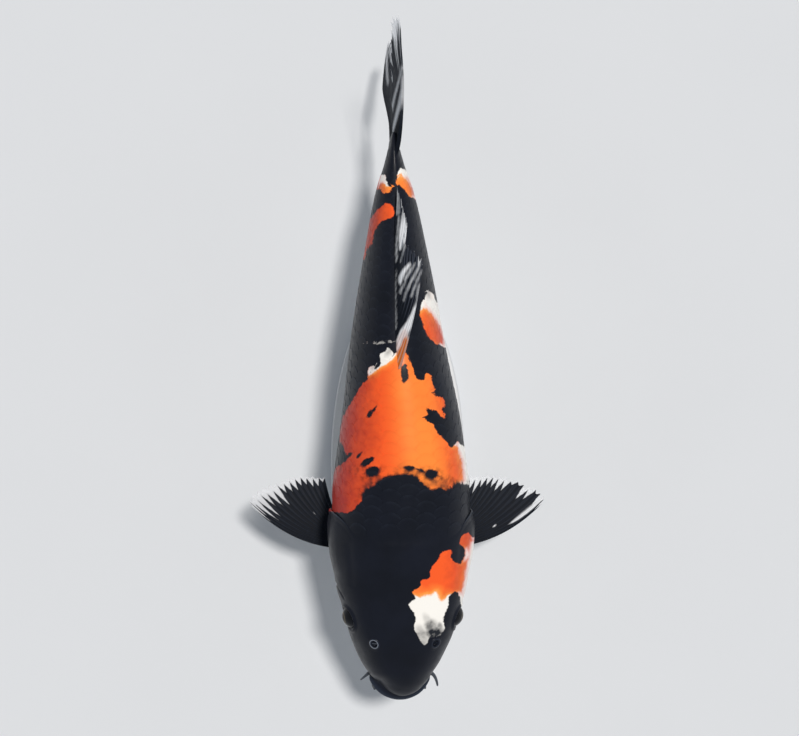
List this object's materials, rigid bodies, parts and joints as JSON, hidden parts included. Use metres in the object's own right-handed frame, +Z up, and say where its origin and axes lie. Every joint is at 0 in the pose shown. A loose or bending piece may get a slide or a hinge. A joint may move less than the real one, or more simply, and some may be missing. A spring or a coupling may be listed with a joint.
{
  "type": "koi carp display model",
  "caption": "Life-size koi carp with black, orange and white markings, shown swimming with its side fins spread, carried on slim rods above a flat oval base.",
  "frame": {"origin": "on the floor under the stand, below the centre of the bounding box", "axes": "+Z up; the fish's head points along -Y and its tail along +Y; +X is the fish's left side"},
  "size_m": [0.179, 0.3965, 0.1474],
  "materials": {
    "skin": "wet scaled skin, black with orange and white patches",
    "fin": "thin fin webs, black with pale webs between the ray tips",
    "eye": "glossy dark eye with a thin dull iris ring",
    "stand_lacquer": "pale satin lacquer on board",
    "stand_steel": "fine brushed steel rod"
  },
  "bodies": {
    "root": {"head": "skin", "gill_cover_left": "skin", "gill_cover_right": "skin", "lower_jaw": "skin", "upper_lip": "skin", "trunk": "skin", "tail_stalk": "skin", "barbel_upper_left": "skin", "barbel_upper_right": "skin", "barbel_lower_left": "skin", "barbel_lower_right": "skin", "tail_fin_upper": "fin", "tail_fin_lower": "fin", "dorsal_fin": "fin", "anal_fin": "fin", "pelvic_fin_left": "fin", "pelvic_fin_right": "fin", "pectoral_fin_left": "fin", "pectoral_fin_right": "fin", "eye_left": "eye", "eye_right": "eye", "stand_base": "stand_lacquer", "stand_rod_front": "stand_steel", "stand_rod_rear": "stand_steel"}
  },
  "joints": []
}
